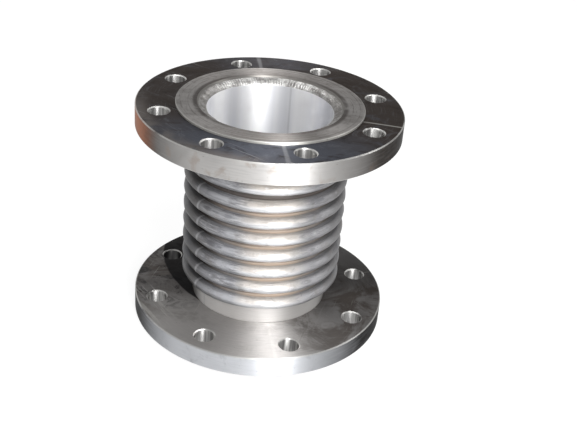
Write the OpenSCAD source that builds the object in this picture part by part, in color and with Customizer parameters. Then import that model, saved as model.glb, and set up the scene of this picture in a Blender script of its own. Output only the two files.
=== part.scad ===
// Flanged metal bellows expansion joint: a round convoluted steel tube between two drilled plate flanges.
// The origin is the centre of the lower flange's sealing face, with +Z up the flow axis.

/* [Flanges] */
// Outside diameter of each flange
flange_d = 250; // [236:1:300]
// Thickness of each flange, raised face included
flange_t = 22.5; // [18:0.5:30]
// Bevel round the edges of the rim
rim_bevel = 1; // [0.3:0.1:3]
// Diameter of the raised sealing face
face_d = 176.5; // [150:0.5:184]
// Height of the raised sealing face
face_h = 2; // [1:0.5:3]
// Bevel at the mouth of the flange bore
mouth_bevel = 1.5; // [0.5:0.1:3]
// Small bevel on the edge of the raised face and at the back of the bore
edge_break = 0.4; // [0.1:0.1:0.8]

/* [Bolt holes] */
// Number of bolt holes in each flange
bolt_count = 8; // [4:4:12]
// Diameter of the bolt circle
bolt_circle_d = 210; // [200:0.5:222]
// Diameter of each bolt hole
bolt_hole_d = 19; // [14:0.5:23]
// Bevel at both ends of each bolt hole
hole_bevel = 1; // [0.3:0.1:2]
// Least metal outside a bolt hole; a wider bolt circle than this allows takes the rim out with it
bolt_land = 2; // [1:0.5:6]

/* [Bellows] */
// Number of convolutions
convolutions = 8; // [3:1:12]
// Outside diameter of the plain ends of the bellows
cuff_d = 133.6; // [131:0.1:137]
// Outside diameter over the crests
crest_d = 157; // [152:0.5:168]
// Thickness of the sheet
sheet_t = 0.5; // [0.3:0.1:1.2]
// Outside radius of the bend over a crest
crest_bend_r = 5.3; // [4.4:0.1:6]
// Radius of the open side of the bend at a root
root_bend_r = 3.375; // [2:0.025:4.5]
// Plain length between the lower flange and the first convolution
lower_cuff_len = 18; // [10:0.5:40]
// Plain length between the last convolution and the upper flange
upper_cuff_len = 22; // [10:0.5:40]

/* [Pipe ends] */
// Wall of the short pipe inside each plain end
pipe_wall = 3.5; // [2:0.1:4.5]
// Bevel on both sides of the short pipe's inner edge
pipe_bevel = 0.8; // [0.2:0.1:0.9]
// Distance from that edge to the nearest convolution
pipe_setback = 1; // [0.5:0.5:6]

/* [Flow liner] */
// Wall of the liner
liner_wall = 1.5; // [1:0.1:2.5]
// Height of the liner's free edge above the lower sealing face
liner_free_z = 25; // [22:0.5:34]

/* [Welds] */
// Depth of the pipe ends below the sealing faces, which the welds fill
weld_depth = 8; // [6:0.5:12]
// Height by which the liner's welded edge stands past the pipe end
liner_proud = 1.6; // [0.5:0.1:3]
// Rise of a weld's face above the straight line between its edges
weld_bulge = 0.7; // [0.3:0.1:1.2]
// Width of bare edge that a weld leaves at its inner side
weld_land = 0.3; // [0.1:0.1:0.8]

/* [Clearances] */
// Gap all round between a flange bore and the plain end of the bellows
slip_gap = 0.2; // [0.1:0.05:0.5]
// Gap all round between the plain end of the bellows and the short pipe
pipe_gap = 0.1; // [0.05:0.05:0.3]
// Gap all round between the short pipe and the liner
liner_gap = 1.95; // [1:0.05:3]

/* [Hidden] */
$fn = 96;

// Radii, from the bellows inwards
cuff_r = cuff_d / 2;
bore_r = cuff_r + slip_gap;
pipe_out_r = cuff_r - sheet_t - pipe_gap;
pipe_in_r = pipe_out_r - pipe_wall;
liner_out_r = pipe_in_r - liner_gap;
liner_in_r = liner_out_r - liner_wall;

// Outermost radius of a flange
rim_r = max(flange_d / 2, bolt_circle_d / 2 + bolt_hole_d / 2 + hole_bevel + bolt_land);

// A bend turns the sheet through a right angle, or through less where the convolutions are too low for that
pitch = 2 * (crest_bend_r + root_bend_r);
convolution_h = (crest_d - cuff_d) / 2;
bend_turn = min(90, 2 * atan(2 * convolution_h / pitch));
crest_r = crest_bend_r / sin(bend_turn);
root_r = root_bend_r / sin(bend_turn);
flank_len = max(0, convolution_h - crest_bend_r - root_bend_r);

// Centres of the bends
crest_centre_r = crest_d / 2 - crest_r;
root_centre_r = cuff_r + root_r;

// Heights, from the lower sealing face upwards
first_convolution_z = flange_t + lower_cuff_len;
last_convolution_z = first_convolution_z + convolutions * pitch;
overall_h = last_convolution_z + upper_cuff_len + flange_t;
liner_depth = weld_depth - liner_proud;

// Turn of the bolt circle that lets the holes straddle the X and Y axes
bolt_turn = 180 / bolt_count;
// Length by which a cutter runs past the face that it opens
cut_past = 1;

// Places pieces drawn from the upper sealing face downwards
module from_upper_face() {
    translate([0, 0, overall_h]) mirror([0, 0, 1]) children();
}

// Cutter for one bolt hole, with a bevel at each end
module bolt_hole() {
    hole_r = bolt_hole_d / 2;
    rotate_extrude() polygon([
        [0, face_h - cut_past],
        [hole_r + hole_bevel + cut_past, face_h - cut_past],
        [hole_r, face_h + hole_bevel],
        [hole_r, flange_t - hole_bevel],
        [hole_r + hole_bevel + cut_past, flange_t + cut_past],
        [0, flange_t + cut_past]
    ]);
}

// Drilled plate flange, its sealing face at height 0
module flange() {
    face_r = face_d / 2;
    difference() {
        rotate_extrude() polygon([
            [bore_r + mouth_bevel, 0],
            [face_r - edge_break, 0],
            [face_r, edge_break],
            [face_r, face_h],
            [rim_r - rim_bevel, face_h],
            [rim_r, face_h + rim_bevel],
            [rim_r, flange_t - rim_bevel],
            [rim_r - rim_bevel, flange_t],
            [bore_r + edge_break, flange_t],
            [bore_r, flange_t - edge_break],
            [bore_r, mouth_bevel]
        ]);
        for (i = [0 : bolt_count - 1]) {
            rotate([0, 0, bolt_turn + i * 360 / bolt_count])
                translate([bolt_circle_d / 2, 0, 0])
                bolt_hole();
        }
    }
}

// Section of the sheet where it bends over a crest, from flank to flank
module crest_bend() {
    reach = crest_r + cut_past;
    translate([crest_centre_r, 0]) intersection() {
        difference() {
            circle(r = crest_r);
            circle(r = crest_r - sheet_t);
        }
        polygon([
            [0, 0],
            [reach * cos(bend_turn), reach * sin(bend_turn)],
            [reach, reach],
            [reach, -reach],
            [reach * cos(bend_turn), -reach * sin(bend_turn)]
        ]);
    }
}

// Section of the sheet where it bends from the middle of a root up to a flank
module root_bend() {
    outer_r = root_r + sheet_t;
    reach = outer_r + cut_past;
    translate([root_centre_r, 0]) intersection() {
        difference() {
            circle(r = outer_r);
            circle(r = root_r);
        }
        polygon([
            [0, 0],
            [-reach, 0],
            [-reach, reach],
            [-reach * cos(bend_turn), reach * sin(bend_turn)]
        ]);
    }
}

// Section of one convolution, from root to root
module convolution() {
    root_bend();
    translate([0, pitch / 2]) crest_bend();
    translate([0, pitch]) mirror([0, 1]) root_bend();
    if (flank_len > 0) {
        translate([root_centre_r, root_r]) square([flank_len, sheet_t]);
        translate([root_centre_r, pitch - root_r - sheet_t]) square([flank_len, sheet_t]);
    }
}

// Section of a plain end of the bellows
module cuff(low_z, high_z) {
    translate([cuff_r - sheet_t, low_z]) square([sheet_t, high_z - low_z]);
}

// Short pipe inside one plain end, drawn from its sealing face
module pipe_end(cuff_len) {
    tip_z = flange_t + cuff_len - pipe_setback;
    rotate_extrude() polygon([
        [pipe_in_r, weld_depth],
        [pipe_out_r, weld_depth],
        [pipe_out_r, tip_z - pipe_bevel],
        [pipe_out_r - pipe_bevel, tip_z],
        [pipe_in_r + pipe_bevel, tip_z],
        [pipe_in_r, tip_z - pipe_bevel]
    ]);
}

// Section of a weld with a rounded face, from the mouth of the flange bore down to an inner edge
module weld_section(edge_r, edge_depth) {
    run = bore_r - edge_r;
    drop = edge_depth - mouth_bevel;
    chord = sqrt(run * run + drop * drop);
    round_r = (chord * chord / 4 + weld_bulge * weld_bulge) / (2 * weld_bulge);
    back = round_r - weld_bulge;
    intersection() {
        square([bore_r, weld_depth]);
        translate([edge_r + run / 2 + back * drop / chord, mouth_bevel + drop / 2 + back * run / chord])
            circle(r = round_r);
    }
}

module lower_flange() {
    color([0.50, 0.49, 0.48]) flange();
}

module upper_flange() {
    color([0.50, 0.49, 0.48]) from_upper_face() flange();
}

module bellows() {
    color([0.66, 0.66, 0.67]) rotate_extrude() {
        cuff(weld_depth, first_convolution_z);
        for (i = [0 : convolutions - 1]) {
            translate([0, first_convolution_z + i * pitch]) convolution();
        }
        cuff(last_convolution_z, overall_h - weld_depth);
    }
}

module lower_pipe_end() {
    color([0.58, 0.57, 0.56]) pipe_end(lower_cuff_len);
}

module upper_pipe_end() {
    color([0.58, 0.57, 0.56]) from_upper_face() pipe_end(upper_cuff_len);
}

module flow_liner() {
    color([0.80, 0.80, 0.82]) rotate_extrude()
        translate([liner_in_r, liner_free_z])
        square([liner_wall, overall_h - liner_depth - liner_free_z]);
}

module lower_face_weld() {
    color([0.70, 0.69, 0.67]) rotate_extrude()
        weld_section(pipe_in_r + weld_land, weld_depth);
}

// This weld also grips the outside of the liner
module upper_face_weld() {
    color([0.70, 0.69, 0.67]) from_upper_face() rotate_extrude() difference() {
        weld_section(liner_in_r + weld_land, liner_depth);
        translate([0, liner_depth]) square([liner_out_r, liner_proud + cut_past]);
    }
}

lower_flange();
upper_flange();
bellows();
lower_pipe_end();
upper_pipe_end();
flow_liner();
lower_face_weld();
upper_face_weld();
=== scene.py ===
"""Looks of a flanged metal bellows expansion joint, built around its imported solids.

Lengths are in metres, with +Z up the flow axis and the lower sealing face at height 0.
Directions round the axis are in degrees from +X, and the camera stands at about -85.
"""
import math

import bmesh
import bpy
from mathutils import Matrix, Vector, noise


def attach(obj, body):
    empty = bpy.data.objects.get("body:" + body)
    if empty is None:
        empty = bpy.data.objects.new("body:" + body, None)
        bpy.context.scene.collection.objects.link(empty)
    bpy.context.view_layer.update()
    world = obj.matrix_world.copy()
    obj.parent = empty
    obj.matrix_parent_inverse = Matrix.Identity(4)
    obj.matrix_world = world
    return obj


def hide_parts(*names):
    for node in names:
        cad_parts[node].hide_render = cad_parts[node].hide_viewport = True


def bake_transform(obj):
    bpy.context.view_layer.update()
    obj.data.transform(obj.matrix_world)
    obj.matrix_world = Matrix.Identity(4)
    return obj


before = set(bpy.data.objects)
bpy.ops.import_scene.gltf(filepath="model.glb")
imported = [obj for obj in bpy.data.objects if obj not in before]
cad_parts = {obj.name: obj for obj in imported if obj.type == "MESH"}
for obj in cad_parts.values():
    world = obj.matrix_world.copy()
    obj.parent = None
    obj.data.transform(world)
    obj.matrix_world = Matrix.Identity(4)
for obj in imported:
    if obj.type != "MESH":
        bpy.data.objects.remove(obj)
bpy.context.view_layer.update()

# Sizes that the looks share with the solids
HEIGHT = 0.2238
FLANGE_RADIUS = 0.125
FACE_RADIUS = 0.08825
BORE_RADIUS = 0.067
CUFF_RADIUS = 0.0668
SHEET = 0.0005
CREST_BEND = 0.0053
ROOT_BEND = 0.003375
CREST_RADIUS = 0.0785
CONVOLUTIONS = 8
FIRST_CONVOLUTION = 0.0405
PITCH = 2 * (CREST_BEND + ROOT_BEND)
LAST_CONVOLUTION = FIRST_CONVOLUTION + CONVOLUTIONS * PITCH
WELD_DEPTH = 0.008
WELD_LAND = 0.0003
MOUTH_BEVEL = 0.0015
LINER_INNER = 0.05925
LINER_OUTER = 0.06075
LINER_FREE_EDGE = 0.025
LINER_DEPTH = 0.0064
PIPE_INNER = 0.0627

# Height by which the edge of a bead stops short of the bottom of its groove
BEAD_GAP = 0.0002

# Steps of each new piece round the axis
BELLOWS_STEPS = 168
LINER_STEPS = 192
WELD_STEPS = 1200

# Directions of the two longitudinal seams; height of the ridge along each, and its half width in radians
BELLOWS_SEAM = -137
BELLOWS_RIDGE = (0.0003, 0.012)
LINER_SEAM = 76
LINER_RIDGE = (0.0004, 0.02)

# Half widths in radians of the pale lines along the seams: out to their edge, and at full strength
SEAM_LINE_EDGE = 0.022
BELLOWS_LINE_CORE = 0.010
LINER_LINE_CORE = 0.008

# Unevenness: how far a convolution sways up and down, slowly and quickly round the axis, how deep its
# dents are, how far its crest is set in to make room for them, and how far the liner waves
SLOW_SWAY = 0.001
QUICK_SWAY = 0.0005
DENT = 0.0004
CREST_INSET = 0.0001
LINER_WAVE = 0.0005

# Weld beads: pi times the number of ripples in a radian, how far each ripple bows across the bead and
# wanders round it, and the lift given by the crown, by the ripples and by the blobs
RIPPLE_RATE = 75
RIPPLE_BOW = 2.2
RIPPLE_WANDER = 3
BEAD_LIFT = 0.0006

# Radii between which marks, painted highlight and painted shade grow from nothing to their full strength
WORN_ZONE = (0.108, 0.123)
RING_STAIN_ZONE = (0.0742, 0.0708)
FACE_LIP_ZONE = (0.0864, 0.0879)
TOOLING_ZONE = (0.098, 0.108)
FACE_WALL_ZONE = (0.092, 0.090)
MOUTH_ZONE = (0.072, 0.070)
ROOT_ZONE = (0.0709, 0.0698)
CREVICE_ZONE = (0.0683, 0.0674)

# Grooves turned into the raised faces: radius and half width of each
OUTER_GROOVE = (0.0835, 0.0008)
INNER_GROOVE = (0.0768, 0.0006)

# Circle of painted dark reflection on the back of a plate: where its centre is, and its edge
REFLECTION_CENTRE = (0.0244, 0.0684)
REFLECTION_EDGE = (0.1365, 0.1345)

# Quarter turn of the shine, for metal that is brushed round the axis, and its tint at low angles
BRUSH_TURN = 0.25
GRAZING_TINT = (0.6, 0.6, 0.6)

# Attribute that keeps the heights of the bellows at rest, so that its marks stay put when it stretches
REST_HEIGHT = "rest_height"

# Lens and sensor of the camera, in millimetres
LENS = 62.417
SENSOR = 36

# Lamps, all aimed at the middle of the part: azimuth, elevation, distance, width, height and watts
LAMPS = {
    "key": (-66, 18, 1.5, 0.45, 0.95, 20),
    "high_key": (-66, 58, 1.6, 0.4, 0.9, 9),
    "strip": (104, 76, 1.5, 0.3, 1.2, 4),
    "fill": (-76, 18, 1.7, 2.0, 0.9, 6),
    "side": (12, 35, 1.8, 0.3, 0.7, 3),
}

# Brightness of the world as a lamp, and as seen overhead and near the floor
AIR_LIGHT = 0.5
AIR_OVERHEAD = 0.55
AIR_LOW = 1.0

# Half the side of the floor, the share of lamplight that it returns, and its own brightness
FLOOR_REACH = 6
FLOOR_GREY = 0.22
FLOOR_GLOW = 0.84

# Sockets of the Mix node that hold its two colours and their mix
MIX_FIRST = 6
MIX_SECOND = 7
MIX_RESULT = 2


# Building of shader nodes

class Value:
    """A socket in an expression; arithmetic on it adds Math nodes."""

    def __init__(self, finish, socket):
        self.finish = finish
        self.socket = socket

    def _math(self, operation, first, second=None):
        values = {0: first} if second is None else {0: first, 1: second}
        return self.finish.node("Math", {"operation": operation}, values)

    def __add__(self, other):
        return self._math("ADD", self, other)

    def __radd__(self, other):
        return self._math("ADD", other, self)

    def __sub__(self, other):
        return self._math("SUBTRACT", self, other)

    def __rsub__(self, other):
        return self._math("SUBTRACT", other, self)

    def __mul__(self, other):
        return self._math("MULTIPLY", self, other)

    def __rmul__(self, other):
        return self._math("MULTIPLY", other, self)

    def __truediv__(self, other):
        return self._math("DIVIDE", self, other)

    def __pow__(self, other):
        return self._math("POWER", self, other)

    def __abs__(self):
        return self._math("ABSOLUTE", self)

    def most(self, other):
        return self._math("MAXIMUM", self, other)

    def rises(self, low, high):
        """0 below low and 1 above high, with a smooth step between; low may be the larger."""
        return self.finish.node("MapRange", {"interpolation_type": "SMOOTHSTEP"},
                                {"Value": self, "From Min": low, "From Max": high})

    def near(self, centre, half_width):
        """1 at the centre, falling smoothly to 0 at half_width to either side."""
        return abs(self - centre).rises(half_width, 0)


class Finish:
    """The nodes of a new material, or of a node tree that is there already."""

    def __init__(self, name=None, tree=None):
        if tree is None:
            self.material = bpy.data.materials.new(name)
            self.material.use_nodes = True
            tree = self.material.node_tree
        self.tree = tree
        self.tree.nodes.clear()

    def node(self, kind, settings=None, values=None, output=0):
        """Adds one node, its settings first, then the values or links of its sockets."""
        made = self.tree.nodes.new("ShaderNode" + kind)
        for name, setting in (settings or {}).items():
            setattr(made, name, setting)
        for name, value in (values or {}).items():
            if isinstance(value, Value):
                self.tree.links.new(value.socket, made.inputs[name])
            else:
                made.inputs[name].default_value = value
        return Value(self, made.outputs[output])

    def locate(self, height=None):
        """Sets what the finish knows of a point: its place, radius and which way its surface faces.

        On a piece that stretches, height names the attribute that keeps each point's height at rest.
        """
        self.place = self.node("TexCoord", output="Object")
        self.x, self.y, self.z = self.parts(self.place)
        if height:
            self.z = self.node("Attribute", {"attribute_name": height}, output="Fac")
            self.place = self.vector(self.x, self.y, self.z)
        self.radius = (self.x * self.x + self.y * self.y) ** 0.5
        self.facing = self.parts(self.node("TexCoord", output="Normal"))[2]

    def seen(self):
        """1 for rays that come from the eye, from a reflection or through glass, 0 for lamplight."""
        path = self.node("LightPath").socket.node.outputs
        seen = Value(self, path["Is Camera Ray"]).most(Value(self, path["Is Glossy Ray"]))
        return seen.most(Value(self, path["Is Transmission Ray"]))

    def parts(self, vector):
        """The three numbers of a vector."""
        split = self.node("SeparateXYZ", values={0: vector}).socket.node
        return [Value(self, split.outputs[i]) for i in range(3)]

    def vector(self, x, y, z):
        return self.node("CombineXYZ", values={0: x, 1: y, 2: z})

    def mix(self, mask, first, second):
        """Colour that is the first where the mask is 0 and the second where it is 1."""
        values = {0: mask}
        for socket, colour in ((MIX_FIRST, first), (MIX_SECOND, second)):
            values[socket] = colour if isinstance(colour, Value) else (*colour, 1)
        return self.node("Mix", {"data_type": "RGBA"}, values, MIX_RESULT)

    def noise(self, vector, scale, detail, roughness=0.5, distortion=0.0):
        return self.node("TexNoise", values={"Vector": vector, "Scale": scale, "Detail": detail,
                                             "Roughness": roughness, "Distortion": distortion})

    def rings(self, amount, scale, detail=3.0):
        """Noise along one number, for turned grooves."""
        return self.node("TexNoise", {"noise_dimensions": "1D"},
                         {"W": amount, "Scale": scale, "Detail": detail, "Roughness": 0.7})

    def round_axis(self, along, length, across):
        """Coordinates for marks that run round the axis: long on the circle, fine across it."""
        return self.vector(self.x / self.radius * along, self.y / self.radius * along, length * across)

    def slanted(self, along, across, slope):
        """Coordinates for marks that run round the axis and climb with this slope."""
        angle = self.node("Math", {"operation": "ARCTAN2"}, {0: self.y, 1: self.x})
        return self.round_axis(along, self.z - angle * slope * CREST_RADIUS, across)

    def scratches(self, turn, along, across, low, high):
        """Thin straight marks across a flat face, in a direction given in radians from +X."""
        run = self.x * math.cos(turn) + self.y * math.sin(turn)
        side = self.y * math.cos(turn) - self.x * math.sin(turn)
        lines = self.noise(self.vector(run * along, side * across, self.z * along), 1.0, 2, 0.6)
        return lines.rises(low, high)

    def toward(self, degrees):
        """1 where a point lies in this direction from the axis, 0 at right angles, -1 opposite."""
        azimuth = math.radians(degrees)
        return (self.x * math.cos(azimuth) + self.y * math.sin(azimuth)) / self.radius

    def within(self, degrees, spread, core=0):
        """1 up to core degrees from this direction, falling smoothly to 0 at spread degrees."""
        return self.toward(degrees).rises(math.cos(math.radians(spread)), math.cos(math.radians(core)))

    def bump(self, height, distance, strength):
        return self.node("Bump", values={"Height": height, "Distance": distance, "Strength": strength})

    def surface(self, **sockets):
        """Closes the material with a principled shader; underscores in the names stand for spaces."""
        sockets = {name.replace("_", " "): value for name, value in sockets.items()}
        if "Specular Tint" in sockets:
            sockets["Specular Tint"] = (*sockets["Specular Tint"], 1)
        self.close(self.node("BsdfPrincipled", values=sockets))
        return self.material

    def close(self, shader, kind="Material"):
        end = self.tree.nodes.new("ShaderNodeOutput" + kind)
        self.tree.links.new(shader.socket, end.inputs["Surface"])


# Camera, light and floor

def place_camera():
    """Camera at the viewpoint of the picture."""
    lens = bpy.data.cameras.new("camera")
    lens.lens = LENS
    lens.sensor_width = SENSOR
    lens.clip_start = 0.01
    camera = bpy.data.objects.new("camera", lens)
    place = Vector((0.06771134, -0.8594268, 0.58270617))
    right = Vector((0.99340295, 0.0893544, 0.0718775))
    up = Vector((-0.10611712, 0.47867681, 0.87155473))
    forward = Vector((-0.04347116, 0.87343248, -0.48500099))
    turn = Matrix((right, up, -forward)).transposed().to_4x4()
    camera.matrix_world = Matrix.Translation(place) @ turn
    bpy.context.scene.collection.objects.link(camera)
    bpy.context.scene.camera = camera


def area_lamp(name, azimuth, elevation, distance, width, height, strength):
    """Soft rectangular lamp that faces the middle of the part."""
    lamp = bpy.data.lights.new(name, "AREA")
    lamp.shape = "RECTANGLE"
    lamp.size = width
    lamp.size_y = height
    lamp.energy = strength
    holder = bpy.data.objects.new(name, lamp)
    around = math.radians(azimuth)
    above = math.radians(elevation)
    out = Vector((math.cos(around) * math.cos(above), math.sin(around) * math.cos(above), math.sin(above)))
    turn = out.to_track_quat("Z", "Y").to_matrix().to_4x4()
    middle = Vector((0, 0, HEIGHT / 2))
    holder.matrix_world = Matrix.Translation(middle + distance * out) @ turn
    bpy.context.scene.collection.objects.link(holder)


def light_studio():
    """A world that is white to the eye and to metal, soft lamps, and a pale floor that keeps the shadow."""
    world = bpy.data.worlds.new("studio")
    bpy.context.scene.world = world
    world.use_nodes = True
    air = Finish(tree=world.node_tree)
    height = air.parts(air.node("TexCoord", output="Generated"))[2]
    near_floor = height.rises(0.32, 0.12)
    backdrop = AIR_OVERHEAD + (AIR_LOW - AIR_OVERHEAD) * near_floor
    level = AIR_LIGHT + air.seen() * (backdrop - AIR_LIGHT)
    air.close(air.node("Background", values={"Color": (1, 1, 1, 1), "Strength": level}), "World")

    for name, numbers in LAMPS.items():
        area_lamp(name, *numbers)

    floor = Finish("pale_floor")
    lit = floor.node("BsdfDiffuse", values={"Color": (FLOOR_GREY, FLOOR_GREY, FLOOR_GREY, 1)})
    glow = floor.node("Emission", values={"Color": (1, 1, 1, 1), "Strength": floor.seen() * FLOOR_GLOW})
    floor.close(floor.node("AddShader", values={0: lit, 1: glow}))

    sheet = bmesh.new()
    bmesh.ops.create_grid(sheet, x_segments=1, y_segments=1, size=FLOOR_REACH)
    mesh = bpy.data.meshes.new("floor")
    sheet.to_mesh(mesh)
    sheet.free()
    piece = bpy.data.objects.new("floor", mesh)
    bpy.context.scene.collection.objects.link(piece)
    mesh.materials.append(floor.material)


# Colours

def linear(red, green, blue):
    """Linear colour of a screen colour given in 0 to 255."""
    shares = (red / 255, green / 255, blue / 255)
    return tuple(((s + 0.055) / 1.055) ** 2.4 if s > 0.04 else s / 12.92 for s in shares)


# Tones of a flange by where they are, much of them painted light, with the direction and span of the rim's
# pale front of painted reflection, how strong the coppery painted reflection on the rim is, and how far the
# dark circle of painted reflection reaches into the bolt holes
UPPER_TONES = {
    "side": linear(70, 62, 57), "end": linear(96, 99, 108), "arc": linear(136, 138, 144),
    "stain": linear(56, 47, 41), "dark_blotches": linear(38, 34, 32), "worn": linear(136, 130, 126),
    "hairline_and_glint": linear(190, 190, 192), "lip": linear(220, 218, 212),
    "raised_low": linear(164, 160, 157), "raised_high": linear(192, 189, 187),
    "raised_painted_shade": linear(112, 108, 105), "raised_mark": linear(104, 98, 93),
    "ring_stain": linear(84, 78, 74),
    "low": linear(118, 114, 112), "high": linear(148, 146, 145), "front": linear(198, 195, 193),
    "dirt": linear(88, 79, 72), "dark": linear(34, 34, 36), "scratch_and_glint": linear(214, 212, 208),
    "rim_side": linear(60, 56, 53), "rim_dark": linear(34, 32, 31), "rim_front": linear(204, 202, 200),
    "rim_streak": linear(168, 167, 166), "rim_smear": linear(150, 126, 108),
    "rim_left": linear(186, 128, 100),
    "hole_low": linear(150, 149, 148), "hole_high": linear(214, 213, 211),
    "edge": linear(214, 213, 210), "mouth": linear(140, 137, 133), "wall": linear(146, 142, 138),
    "rim_turn": -89, "rim_span": (0.53, 1.06), "copper_reflection": 1.0, "reflection_in_holes": 0.0,
}
LOWER_TONES = dict(
    UPPER_TONES,
    rim_side=linear(46, 45, 45), rim_front=linear(205, 207, 211),
    rim_streak=linear(180, 182, 186), rim_smear=linear(150, 152, 156),
    rim_turn=-92, rim_span=(0.45, 1.0), copper_reflection=0.0, reflection_in_holes=0.8,
)
# Tones of the bellows; those set by facing and direction round the axis, and those of the roots and ends,
# are painted light and shade
BELLOWS_TONES = {
    "under": linear(158, 159, 163), "under_front": linear(232, 233, 236),
    "over": linear(172, 173, 178), "over_front": linear(208, 201, 193),
    "cloud": linear(190, 190, 192), "draw_mark": linear(108, 107, 110), "scuff": linear(238, 239, 241),
    "side": linear(84, 82, 81), "right": linear(132, 131, 132), "far_side": linear(136, 136, 138),
    "patch": linear(122, 116, 111), "stroke": linear(88, 89, 94), "slant": linear(92, 88, 86),
    "root_side": linear(62, 57, 54), "root_right": linear(108, 101, 96),
    "root_grey": linear(150, 145, 141), "root_tan": linear(162, 149, 138),
    "root_front": linear(212, 191, 172), "root_top_shade": linear(92, 84, 79), "crevice_shade": linear(72, 69, 67),
    "cuff": linear(250, 248, 246), "cuff_front": linear(222, 219, 216),
    "cuff_right": linear(176, 173, 170), "cuff_side": linear(150, 148, 146),
    "seam": linear(200, 200, 202),
}


# Finishes

def annulus_colour(steel, tones):
    """Polished ring outside the raised face: dark at the sides and paler to front and back as painted
    reflection, with brushed arcs, cloudy painted reflection and painted glints.
    """
    # Darker sides and paler front and back are painted reflection
    ends = steel.toward(-90).rises(0.35, 0.95) + steel.toward(96).rises(0.8, 1) * 0.4
    colour = steel.mix(ends + steel.cloud * 0.5 - 0.25, tones["side"], tones["end"])
    colour = steel.mix(steel.arcs.rises(0.52, 0.75) * 0.4, colour, tones["arc"])
    colour = steel.mix(steel.patch.rises(0.58, 0.75) * 0.35, colour, tones["stain"])
    # Swirls and haze, pale and dark: cloudy painted reflection
    colour = steel.mix(steel.swirl.rises(0.56, 0.68) * 0.4, colour, tones["end"])
    colour = steel.mix(steel.swirl.rises(0.46, 0.36) * 0.6, colour, tones["stain"])
    haze = steel.noise(steel.place, 36, 5, 0.7, 1.6)
    colour = steel.mix(haze.rises(0.54, 0.7) * 0.4, colour, tones["arc"])
    colour = steel.mix(haze.rises(0.44, 0.3) * 0.5, colour, tones["dark_blotches"])
    worn = steel.radius.rises(*WORN_ZONE) * steel.toward(-128).rises(0.5, 0.9)
    worn = worn * steel.patch.rises(0.35, 0.55)
    colour = steel.mix(worn * 0.7, colour, tones["worn"])
    hairs = steel.scratches(0.15, 9, 700, 0.68, 0.75) + steel.scratches(2.6, 12, 800, 0.68, 0.75)
    colour = steel.mix(hairs * 0.5, colour, tones["hairline_and_glint"])
    # Two thin painted glints: radial lines of reflected light in front and behind
    for degrees, strength in ((-77, 0.34), (102, 0.3)):
        colour = steel.mix(steel.within(degrees, 1.4) * strength, colour, tones["hairline_and_glint"])

    # One straight bright streak to the right
    streak = (steel.y + steel.x * 0.12 + 0.008).near(0, 0.0018) * steel.x.rises(0.07, 0.1)
    return steel.mix(streak * 0.7, colour, tones["lip"])


def raised_face_colour(steel, tones):
    """Rough turned sealing face, with a stain by the bore, painted shade to front and back, and a bright
    uneven outer lip that carries a painted highlight to the front.
    """
    fine_rings = steel.rings(steel.radius, 420, 2)
    colour = steel.mix(steel.cloud.rises(0.3, 0.7), tones["raised_low"], tones["raised_high"])
    # Painted shade on the front and back of the face
    dull = steel.toward(-78).rises(0.72, 1) * 0.8 + steel.toward(100).rises(0.5, 1) * 0.55
    colour = steel.mix(dull, colour, tones["raised_painted_shade"])
    colour = steel.mix(fine_rings.rises(0.45, 0.7) * 0.3, colour, tones["raised_high"])
    colour = steel.mix(steel.arcs.rises(0.48, 0.3) * 0.55, colour, tones["raised_mark"])
    colour = steel.mix(steel.swirl.rises(0.5, 0.36) * 0.25, colour, tones["raised_mark"])
    groove = steel.radius.near(*OUTER_GROOVE) * steel.patch.rises(0.35, 0.6)
    groove = groove + steel.radius.near(*INNER_GROOVE) * steel.patch.rises(0.6, 0.4)
    colour = steel.mix(groove * 0.5, colour, tones["raised_mark"])
    mottle = steel.noise(steel.place, 210, 3, 0.7)
    colour = steel.mix(mottle.rises(0.5, 0.7) * 0.3, colour, tones["raised_mark"])
    to_sides = 0.35 + 0.65 * abs(steel.toward(5)).rises(0.3, 0.85)
    ring_stain = steel.radius.rises(*RING_STAIN_ZONE) * steel.patch.rises(0.2, 0.5) * to_sides
    colour = steel.mix(ring_stain * 0.7, colour, tones["ring_stain"])
    lip = steel.radius.rises(*FACE_LIP_ZONE) * (0.35 + 0.65 * steel.patch.rises(0.35, 0.6))
    # The lip is uneven like wear, and brighter to the front as a painted highlight
    return steel.mix(lip * (0.35 + 0.55 * steel.toward(-80).rises(-0.2, 0.9)), colour, tones["lip"])


def painted_dark_reflection(steel):
    """Painted dark reflection on the back of a plate: inside a large circle, on one side of the axis."""
    across = steel.x - REFLECTION_CENTRE[0]
    along = steel.y - REFLECTION_CENTRE[1]
    reach = (across ** 2 + along ** 2) ** 0.5
    return (reach + steel.patch * 0.003).rises(*REFLECTION_EDGE) * steel.toward(168).rises(0.3, 0.62)


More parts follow.
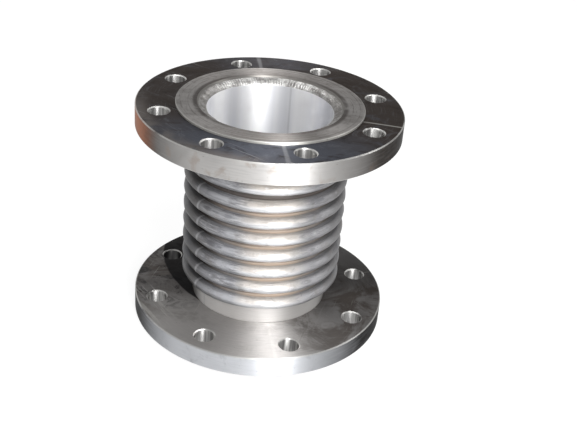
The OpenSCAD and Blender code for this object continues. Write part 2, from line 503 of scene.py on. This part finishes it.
def back_colour(steel, tones):
    """Back of a plate: pale to the front and dark to the sides as painted reflection, scuffed, with dirt
    that gathers to the sides.
    """
    colour = steel.mix(steel.cloud.rises(0.35, 0.65), tones["low"], tones["high"])
    # Pale front: painted reflection
    colour = steel.mix(steel.toward(-97).rises(0.35, 0.95), colour, tones["front"])
    colour = steel.mix(steel.arcs.rises(0.35, 0.62) * 0.3, colour, tones["high"])
    dirt = steel.noise(steel.place, 17, 5, 0.7, 1.2).rises(0.48, 0.64)
    clean = steel.toward(-88).rises(0.75, 0.98)
    colour = steel.mix(dirt * (0.35 + abs(steel.toward(0)) * 0.4) * (1 - clean * 0.7), colour, tones["dirt"])
    # Painted light on the front left, and painted dark reflection at the back right
    colour = steel.mix(steel.toward(-126).rises(0.8, 1) * 0.55, colour, tones["front"])
    colour = steel.mix(steel.toward(32).rises(0.8, 1) * 0.5, colour, tones["dark"])
    dark_blotches = steel.noise(steel.place, 60, 4, 0.7, 1.0).rises(0.52, 0.66) * steel.toward(176).rises(0.6, 0.95)
    colour = steel.mix(dark_blotches * 0.6, colour, tones["dark"])
    marks = 0.0
    for turn, fineness in ((0.4, 620), (1.4, 710), (2.4, 800), (3.2, 890)):
        marks = steel.scratches(turn, 14, fineness, 0.66, 0.74) + marks
    colour = steel.mix(marks * steel.patch.rises(0.4, 0.6) * 0.4, colour, tones["scratch_and_glint"])
    tooling = steel.scratches(-0.9, 25, 420, 0.55, 0.6) * steel.within(-150, 22, 8)
    colour = steel.mix(tooling * steel.radius.rises(*TOOLING_ZONE) * 0.5, colour, tones["scratch_and_glint"])
    # Painted dark reflection of the bellows, inside a circle on one side
    colour = steel.mix(painted_dark_reflection(steel) * (0.96 - steel.cloud * 0.15), colour, tones["dark"])
    # Thin painted glint: a radial line of reflected light at the front
    return steel.mix(steel.within(-76, 1.1) * 0.2, colour, tones["scratch_and_glint"])


def rim_colour(steel, tones):
    """Turned rim with its own streaks and smears; its pale front and back, dark sides and coppery patch are
    painted reflection.
    """
    streaks = steel.noise(steel.round_axis(6, steel.z, 700), 1.0, 3, 0.6)
    # Pale front and back and dark sides: painted reflection of a bright front and dark surroundings
    front = steel.toward(tones["rim_turn"]).rises(*tones["rim_span"])
    front = front + steel.toward(95).rises(0.2, 1.0) * 0.75
    colour = steel.mix(front, tones["rim_side"], tones["rim_front"])
    colour = steel.mix(streaks.rises(0.4, 0.7) * (0.12 + 0.2 * front), colour, tones["rim_streak"])
    # Coppery painted reflection on the left of the rim
    copper_reflection = steel.toward(-172).rises(0.78, 0.98) * (0.7 + 0.3 * steel.patch.rises(0.35, 0.6))
    colour = steel.mix(copper_reflection * tones["copper_reflection"], colour, tones["rim_left"])
    smears = steel.noise(steel.round_axis(9, steel.z, 60), 1.0, 4, 0.6, 0.6).rises(0.54, 0.7)
    # Painted dark reflection at the far right of the rim
    colour = steel.mix(steel.toward(-6).rises(0.9, 1) * 0.55, colour, tones["rim_dark"])
    return steel.mix(smears * (0.14 + 0.22 * front), colour, tones["rim_smear"])


def flange_finish(name, face_z, tones):
    """Turned plate flange with its sealing face at height face_z."""
    steel = Finish(name)
    steel.locate()
    outward = 1 if face_z > 0 else -1
    steel.cloud = steel.noise(steel.place, 9, 4, 0.6, 0.4)
    steel.patch = steel.noise(steel.place, 28, 4, 0.65, 0.8)
    steel.arcs = steel.noise(steel.round_axis(5, steel.radius, 900), 1.0, 4, 0.7)
    steel.swirl = steel.noise(steel.vector(steel.x * 16, steel.y * 40, steel.z), 1.0, 4, 0.65, 1.5)

    # Flat faces first, then the rim and the walls of the bolt holes and the raised face
    flat = abs(steel.facing).rises(0.8, 0.95)
    faces_front = (steel.facing * outward).rises(0.3, 0.7)
    on_raised = steel.radius.rises(FACE_RADIUS + 0.0003, FACE_RADIUS - 0.0001)
    front = steel.mix(on_raised, annulus_colour(steel, tones), raised_face_colour(steel, tones))
    sides = steel.mix(faces_front, back_colour(steel, tones), front)
    outer = steel.radius.rises(FLANGE_RADIUS - 0.0025, FLANGE_RADIUS - 0.001)
    hole_streaks = steel.noise(steel.vector(steel.x * 240, steel.y * 240, steel.z * 12), 1.0, 2, 0.6)
    hole = steel.mix(hole_streaks.rises(0.4, 0.6), tones["hole_low"], tones["hole_high"])
    # Bolt holes inside the circle of painted dark reflection are painted dark too
    hole = steel.mix(painted_dark_reflection(steel) * tones["reflection_in_holes"], hole, tones["dark"])
    # The wall of the raised face turns pale to the front as a painted highlight
    face_wall = steel.mix(steel.toward(-80).rises(0.1, 0.95), tones["wall"], tones["lip"])
    hole = steel.mix(steel.radius.rises(*FACE_WALL_ZONE), hole, face_wall)
    colour = steel.mix(flat, steel.mix(outer, hole, rim_colour(steel, tones)), sides)

    # Worn bright bevels, and a dark one at the mouth of the bore
    slope = abs(steel.facing)
    edge = slope.rises(0.1, 0.4) * slope.rises(0.97, 0.8)
    colour = steel.mix(edge * steel.patch.rises(0.2, 0.5) * 0.8, colour, tones["edge"])
    colour = steel.mix(edge * steel.radius.rises(*MOUTH_ZONE) * 0.9, colour, tones["mouth"])
    speck = steel.noise(steel.place, 260, 2, 0.7)
    colour = steel.mix(speck.rises(0.66, 0.8) * 0.3, colour, tones["stain"])

    on_annulus = faces_front * (1 - on_raised) * flat
    on_rough = flat * (1 - on_annulus)
    rough = 0.44 - on_annulus * 0.16 + on_rough * 0.16 + steel.patch.rises(0.4, 0.7) * 0.08
    grooves = steel.rings(steel.radius, 2600)
    wide_grooves = steel.rings(steel.radius, 420, 2)
    height = grooves * 0.35 + wide_grooves * 0.3 + steel.arcs * 0.3 + steel.patch * 0.8
    height = height * flat + (1 - flat) * (steel.patch * 0.6 + hole_streaks * 0.3)
    return steel.surface(Base_Color=colour, Metallic=1.0, Roughness=rough, Anisotropic=0.88,
                         Anisotropic_Rotation=BRUSH_TURN, Specular_Tint=GRAZING_TINT,
                         Normal=steel.bump(height, 0.00016, 0.5))


def bellows_finish():
    """Cold formed sheet: scuffed crests, dark roots with a warm middle, plain ends and a pale seam; the
    crests' light and dark by facing and direction, the dark roots and the warm middle are painted light and
    shade.
    """
    sheet = Finish("formed_bellows_sheet")
    sheet.locate(REST_HEIGHT)
    tones = BELLOWS_TONES
    cloud = sheet.noise(sheet.place, 14, 4, 0.6, 0.5)
    patch = sheet.noise(sheet.place, 55, 4, 0.65, 0.6)
    along = sheet.z + sheet.radius * 1.3
    draw_marks = sheet.noise(sheet.round_axis(3, along, 620), 1.0, 4, 0.7)
    scuffs = sheet.noise(sheet.round_axis(7, along, 1500), 1.0, 3, 0.7)

    # Where on the sheet a point is
    in_folds = sheet.z.rises(FIRST_CONVOLUTION - 0.001, FIRST_CONVOLUTION + 0.001)
    in_folds = in_folds * sheet.z.rises(LAST_CONVOLUTION + 0.0042, LAST_CONVOLUTION + 0.0026)
    root = sheet.radius.rises(*ROOT_ZONE) * in_folds
    upward = sheet.facing.rises(-0.15, 0.6)
    to_ends = abs(sheet.toward(-80))
    front = to_ends.rises(0.5, 0.92)
    middle = sheet.toward(-77).rises(0.87, 0.99)
    right = sheet.toward(-15).rises(0.55, 0.85)

    # Crests, with painted light: paler where they face up, and lit and tinted in a middle band toward the
    # front
    under = sheet.mix(middle, tones["under"], tones["under_front"])
    over = sheet.mix(middle, tones["over"], tones["over_front"])
    colour = sheet.mix(upward, under, over)
    colour = sheet.mix(cloud.rises(0.4, 0.7) * 0.35, colour, tones["cloud"])
    drawn = draw_marks.rises(0.45, 0.62) * (0.7 - 0.35 * middle)
    colour = sheet.mix(drawn, colour, tones["draw_mark"])
    colour = sheet.mix(scuffs.rises(0.55, 0.7) * 0.6, colour, tones["scuff"])
    # Painted shade toward the sides and on the right, with a painted paler grazing reflection at the far
    # edges
    colour = sheet.mix(to_ends.rises(0.92, 0.4) * 0.9, colour, tones["side"])
    colour = sheet.mix(right * 0.55, colour, tones["right"])
    colour = sheet.mix(to_ends.rises(0.42, 0.1) * 0.5, colour, tones["far_side"])
    colour = sheet.mix(patch.rises(0.55, 0.72) * 0.4, colour, tones["patch"])
    strokes = sheet.noise(sheet.round_axis(1.7, along, 360), 1.0, 5, 0.75).rises(0.5, 0.62)
    strokes = strokes * (0.25 + upward * 0.3) * (1 - middle * 0.75)
    colour = sheet.mix(strokes, colour, tones["stroke"])
    slants = sheet.noise(sheet.slanted(7, 420, 0.35), 1.0, 3, 0.7).rises(0.6, 0.72)
    slants = slants + sheet.noise(sheet.slanted(9, 520, -0.55), 1.0, 3, 0.7).rises(0.62, 0.74)
    colour = sheet.mix(slants * 0.4 * cloud.rises(0.4, 0.6), colour, tones["slant"])

    # Roots, in painted shade that is dark at the sides and warm with painted reflection in the middle, with
    # the highest valley, under the flange, in deeper painted shade
    root_side = sheet.mix(right, tones["root_side"], tones["root_right"])
    root_front = sheet.mix(cloud.rises(0.4, 0.6), tones["root_grey"], tones["root_tan"])
    root_colour = sheet.mix(front, root_side, root_front)
    root_colour = sheet.mix(middle * 0.8, root_colour, tones["root_front"])
    top_valley = sheet.z.rises(LAST_CONVOLUTION - 1.35 * PITCH, LAST_CONVOLUTION - 1.2 * PITCH)
    top_valley = top_valley * sheet.z.rises(LAST_CONVOLUTION - 0.7 * PITCH, LAST_CONVOLUTION - 0.85 * PITCH)
    root_colour = sheet.mix(top_valley, root_colour, tones["root_top_shade"])
    colour = sheet.mix(root * 0.9, colour, root_colour)
    # Painted shade deep in the valleys
    crevice_shade = sheet.radius.rises(*CREVICE_ZONE) * in_folds
    colour = sheet.mix(crevice_shade * 0.65, colour, tones["crevice_shade"])

    # Plain ends, darker to the right and the sides as painted reflection, and seam
    cuff_ends = abs(sheet.toward(-83))
    cuff = sheet.mix(cuff_ends.rises(0.55, 0.95), tones["cuff"], tones["cuff_front"])
    cuff = sheet.mix(sheet.toward(-25).rises(0.6, 1) * 0.5, cuff, tones["cuff_right"])
    cuff = sheet.mix(cuff_ends.rises(0.56, 0.2) * 0.9, cuff, tones["cuff_side"])
    colour = sheet.mix((1 - in_folds) * 0.85, colour, cuff)
    seam = sheet.toward(BELLOWS_SEAM).rises(math.cos(SEAM_LINE_EDGE), math.cos(BELLOWS_LINE_CORE))
    colour = sheet.mix(seam * (1 - root) * 0.35, colour, tones["seam"])

    rough = 0.36 + patch * 0.1 + root * 0.1
    height = draw_marks * 0.8 + scuffs * 0.35 + patch * 0.35 - slants * 0.3
    metal = 0.7 + in_folds * (-0.1 - 0.35 * upward * front)
    return sheet.surface(Base_Color=colour, Metallic=metal, Roughness=rough, Anisotropic=0.6,
                         Anisotropic_Rotation=BRUSH_TURN, Specular_Tint=GRAZING_TINT,
                         Normal=sheet.bump(height, 0.0003, 0.7))


def liner_finish():
    """Bright rolled sheet with soft bands along it, grey bands of painted reflection in fixed directions,
    and a welded seam.
    """
    sheet = Finish("bright_liner_sheet")
    sheet.locate()
    cloud = sheet.noise(sheet.place, 16, 3, 0.55, 0.3)
    bands = sheet.noise(sheet.round_axis(3.2, sheet.z, 2.5), 1.0, 3, 0.55)
    fine = sheet.noise(sheet.round_axis(70, sheet.z, 30), 1.0, 3, 0.6)
    colour = sheet.mix(bands.rises(0.35, 0.65), linear(240, 241, 245), linear(254, 254, 254))
    # Grey bands in fixed directions: painted reflection
    for degrees, spread, strength in ((132, 9, 0.3), (84, 16, 0.4), (14, 30, 0.7), (-20, 40, 0.5)):
        colour = sheet.mix(sheet.within(degrees, spread) * strength, colour, linear(192, 193, 197))
    colour = sheet.mix(cloud.rises(0.5, 0.7) * 0.45, colour, linear(226, 224, 226))
    colour = sheet.mix(fine.rises(0.55, 0.8) * 0.2, colour, linear(222, 223, 226))
    seam = sheet.toward(LINER_SEAM).rises(math.cos(SEAM_LINE_EDGE), math.cos(LINER_LINE_CORE))
    colour = sheet.mix(seam * 0.3, colour, linear(176, 176, 178))
    return sheet.surface(Base_Color=colour, Metallic=0.85, Roughness=0.46 + fine * 0.12, Anisotropic=0.75,
                         Anisotropic_Rotation=BRUSH_TURN,
                         Normal=sheet.bump(cloud * 0.8 + fine * 0.2, 0.0004, 0.4))


def weld_finish(name):
    """Rough weld metal, bright on its grains and dull between them."""
    bead = Finish(name)
    bead.locate()
    grain = bead.noise(bead.place, 420, 3, 0.7)
    blobs = bead.noise(bead.place, 130, 3, 0.6, 0.5)
    colour = bead.mix(blobs.rises(0.35, 0.65), linear(150, 148, 146), linear(208, 207, 205))
    colour = bead.mix(grain.rises(0.52, 0.7) * 0.55, colour, linear(240, 240, 240))
    colour = bead.mix(grain.rises(0.47, 0.34) * 0.4, colour, linear(92, 90, 88))
    # Darker to the left and right of the bead: painted shade
    colour = bead.mix(abs(bead.toward(98)).rises(0.95, 0.3) * 0.6, colour, linear(112, 108, 104))
    return bead.surface(Base_Color=colour, Metallic=1.0, Roughness=0.3 + blobs * 0.2,
                        Normal=bead.bump(grain * 0.8 + blobs, 0.0005, 0.8))


def pipe_finish():
    """Plain mill finish of the short pipes inside the ends."""
    steel = Finish("mill_pipe_steel")
    steel.locate()
    cloud = steel.noise(steel.place, 20, 4, 0.6, 0.3)
    lines = steel.noise(steel.round_axis(30, steel.z, 60), 1.0, 3, 0.6)
    colour = steel.mix(cloud.rises(0.3, 0.7), linear(140, 138, 136), linear(176, 174, 171))
    colour = steel.mix(lines.rises(0.5, 0.75) * 0.4, colour, linear(118, 112, 106))
    return steel.surface(Base_Color=colour, Metallic=1.0, Roughness=0.42 + lines * 0.1,
                         Normal=steel.bump(cloud * 0.5 + lines * 0.5, 0.0002, 0.5))


# New pieces

def polar(vert):
    """Azimuth of a vertex round the axis, and its radius."""
    return math.atan2(vert.co.y, vert.co.x), math.hypot(vert.co.x, vert.co.y)


def set_radius(vert, radius):
    """Moves a vertex to this radius along its own direction from the axis."""
    azimuth = math.atan2(vert.co.y, vert.co.x)
    vert.co.x = radius * math.cos(azimuth)
    vert.co.y = radius * math.sin(azimuth)


def seam_ridge(azimuth, seam, height, half_width):
    """Height of the ridge along a seam: full in the seam's direction, 0 from half_width radians away."""
    away = abs((azimuth - math.radians(seam) + math.pi) % (2 * math.pi) - math.pi)
    return height * max(0, 1 - away / half_width)


def round_noise(azimuth, height, turns, rows, seed):
    """Smooth noise on a cylinder, with about this many swings per radian and per metre."""
    return noise.noise(Vector((math.cos(azimuth) * turns + seed, math.sin(azimuth) * turns, height * rows)))


class Section:
    """A line drawn in the plane y = 0, from which a round piece is spun."""

    def __init__(self, radius, height):
        self.bm = bmesh.new()
        self.end = bmesh.ops.create_vert(self.bm, co=(radius, 0, height))["vert"][0]

    def line_to(self, radius, height, steps=1):
        """Straight run to a point, in equal steps."""
        step = (Vector((radius, 0, height)) - self.end.co) / steps
        for _ in range(steps):
            made = bmesh.ops.extrude_vert_indiv(self.bm, verts=[self.end])
            self.end = made["verts"][0]
            self.end.co += step

    def arc(self, radius, height, angle, steps):
        """Arc about a centre at this radius and height; a positive angle turns from +X towards +Z."""
        made = bmesh.ops.spin(self.bm, geom=[self.end], cent=(radius, 0, height), axis=(0, -1, 0),
                              angle=angle, steps=steps)
        self.end = [part for part in made["geom_last"] if isinstance(part, bmesh.types.BMVert)][0]

    def spin(self, steps):
        """Turns the line once round the axis."""
        bmesh.ops.remove_doubles(self.bm, verts=self.bm.verts, dist=1e-6)
        bmesh.ops.spin(self.bm, geom=self.bm.verts[:] + self.bm.edges[:], cent=(0, 0, 0), axis=(0, 0, 1),
                       angle=2 * math.pi, steps=steps, use_merge=True)
        bmesh.ops.remove_doubles(self.bm, verts=self.bm.verts, dist=1e-6)
        bmesh.ops.recalc_face_normals(self.bm, faces=self.bm.faces)
        return self.bm


def finished_piece(name, bm, material, crease_angle):
    """Object of this mesh, with its finish, smooth up to the crease angle in degrees."""
    mesh = bpy.data.meshes.new(name)
    bm.to_mesh(mesh)
    bm.free()
    mesh.shade_smooth()
    mesh.set_sharp_from_angle(angle=math.radians(crease_angle))
    mesh.materials.append(material)
    piece = bpy.data.objects.new(name, mesh)
    bpy.context.scene.collection.objects.link(piece)
    return piece


def make_bellows():
    """Convoluted tube with its plain ends, a little uneven, with its seam standing proud on the crests."""
    root_centre = CUFF_RADIUS + ROOT_BEND
    crest_centre = CREST_RADIUS - CREST_BEND
    line = Section(CUFF_RADIUS, WELD_DEPTH)
    line.line_to(CUFF_RADIUS, FIRST_CONVOLUTION, 4)
    for i in range(CONVOLUTIONS):
        start = FIRST_CONVOLUTION + i * PITCH
        line.arc(root_centre, start, -math.pi / 2, 4)
        line.line_to(crest_centre, line.end.co.z)
        line.arc(crest_centre, start + PITCH / 2, math.pi, 10)
        line.line_to(root_centre, line.end.co.z)
        line.arc(root_centre, start + PITCH, -math.pi / 2, 4)
    line.line_to(CUFF_RADIUS, HEIGHT - WELD_DEPTH, 5)
    bm = line.spin(BELLOWS_STEPS)

    # Each convolution sways up and down, and the sheet is dented; both grow from nothing at the roots
    for vert in bm.verts:
        azimuth, radius = polar(vert)
        rise = min(1, max(0, (radius - CUFF_RADIUS) / (CREST_RADIUS - CUFF_RADIUS)))
        ring = round((vert.co.z - FIRST_CONVOLUTION) / PITCH - 0.5)
        sway = round_noise(azimuth, ring, 1.6, 3.1, 4.0) * SLOW_SWAY
        sway += round_noise(azimuth, ring, 5, 2.3, 9.0) * QUICK_SWAY
        vert.co.z += rise * sway
        dent = round_noise(azimuth, vert.co.z, 6, 90, 2.0) * DENT
        proud = seam_ridge(azimuth, BELLOWS_SEAM, *BELLOWS_RIDGE) * rise
        set_radius(vert, radius + rise * (dent - CREST_INSET) + proud)
    bmesh.ops.recalc_face_normals(bm, faces=bm.faces)
    bmesh.ops.solidify(bm, geom=bm.faces[:], thickness=SHEET)
    rest_height = bm.verts.layers.float.new(REST_HEIGHT)
    for vert in bm.verts:
        vert[rest_height] = vert.co.z
    piece = finished_piece("bellows_tube", bm, bellows_finish(), 50)
    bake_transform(piece)
    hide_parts("bellows")


def make_liner():
    """Rolled liner, slightly wavy, with a seam along its inside."""
    top = HEIGHT - LINER_DEPTH
    line = Section(LINER_OUTER, LINER_FREE_EDGE)
    line.line_to(LINER_INNER, LINER_FREE_EDGE)
    line.line_to(LINER_INNER, top, 30)
    line.line_to(LINER_OUTER, top)
    line.line_to(LINER_OUTER, LINER_FREE_EDGE, 6)
    bm = line.spin(LINER_STEPS)
    for vert in bm.verts:
        azimuth, radius = polar(vert)
        wave = round_noise(azimuth, vert.co.z, 2.4, 6, 7.0) * LINER_WAVE
        on_inside = radius < (LINER_INNER + LINER_OUTER) / 2
        proud = seam_ridge(azimuth, LINER_SEAM, *LINER_RIDGE) if on_inside else 0
        set_radius(vert, radius + wave - proud)
    piece = finished_piece("rolled_liner", bm, liner_finish(), 35)
    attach(piece, "upper_end")
    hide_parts("flow_liner")


def make_weld(name, node, body, upper, inner, inner_depth, ripple_seed):
    """Ring of rippled weld metal from the mouth of the flange bore to an inner edge."""
    def height(depth):
        return HEIGHT - depth if upper else depth

    bottom = height(WELD_DEPTH - BEAD_GAP)
    line = Section(BORE_RADIUS, bottom)
    line.line_to(BORE_RADIUS, height(MOUTH_BEVEL))
    line.line_to(inner, height(inner_depth), 9)
    line.line_to(inner, bottom)
    line.line_to(BORE_RADIUS, bottom)
    bm = line.spin(WELD_STEPS)

    # The crown is 0 at both edges of the bead, so that only its face is lifted
    for vert in bm.verts:
        azimuth, radius = polar(vert)
        across = (BORE_RADIUS - radius) / (BORE_RADIUS - inner)
        crown = 4 * across * (1 - across)
        wander = RIPPLE_WANDER * noise.noise(Vector((azimuth * 4, ripple_seed, 0)))
        curl = azimuth * RIPPLE_RATE + RIPPLE_BOW * (across - 0.5) ** 2 + wander
        ripple = abs(math.sin(curl)) - 0.6
        blob = round_noise(azimuth, across * 0.02, 9, 60, ripple_seed)
        lift = crown * BEAD_LIFT * (1 + ripple + blob)
        vert.co.z += lift if upper else -lift
        set_radius(vert, radius - lift * 0.5)
    piece = finished_piece(name, bm, weld_finish(name + "_metal"), 60)
    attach(piece, body)
    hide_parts(node)


def dress_solids():
    """Finishes of the solids that keep their own shape."""
    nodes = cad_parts
    set_finish(nodes["upper_flange"], flange_finish("upper_flange_steel", HEIGHT, UPPER_TONES))
    set_finish(nodes["lower_flange"], flange_finish("lower_flange_steel", 0, LOWER_TONES))
    pipe = pipe_finish()
    for node in ("lower_pipe_end", "upper_pipe_end"):
        set_finish(nodes[node], pipe)


def set_finish(piece, material):
    if not piece.material_slots:
        piece.data.materials.append(material)
    for slot in piece.material_slots:
        slot.material = material


place_camera()
light_studio()
make_bellows()
make_liner()
make_weld("upper_weld_bead", "upper_face_weld", "upper_end", True, LINER_INNER + WELD_LAND, LINER_DEPTH, 3.0)
make_weld("lower_weld_bead", "lower_face_weld", "lower_end", False, PIPE_INNER + WELD_LAND,
          WELD_DEPTH - BEAD_GAP, 8.0)
dress_solids()

bpy.context.scene.view_settings.view_transform = "Standard"
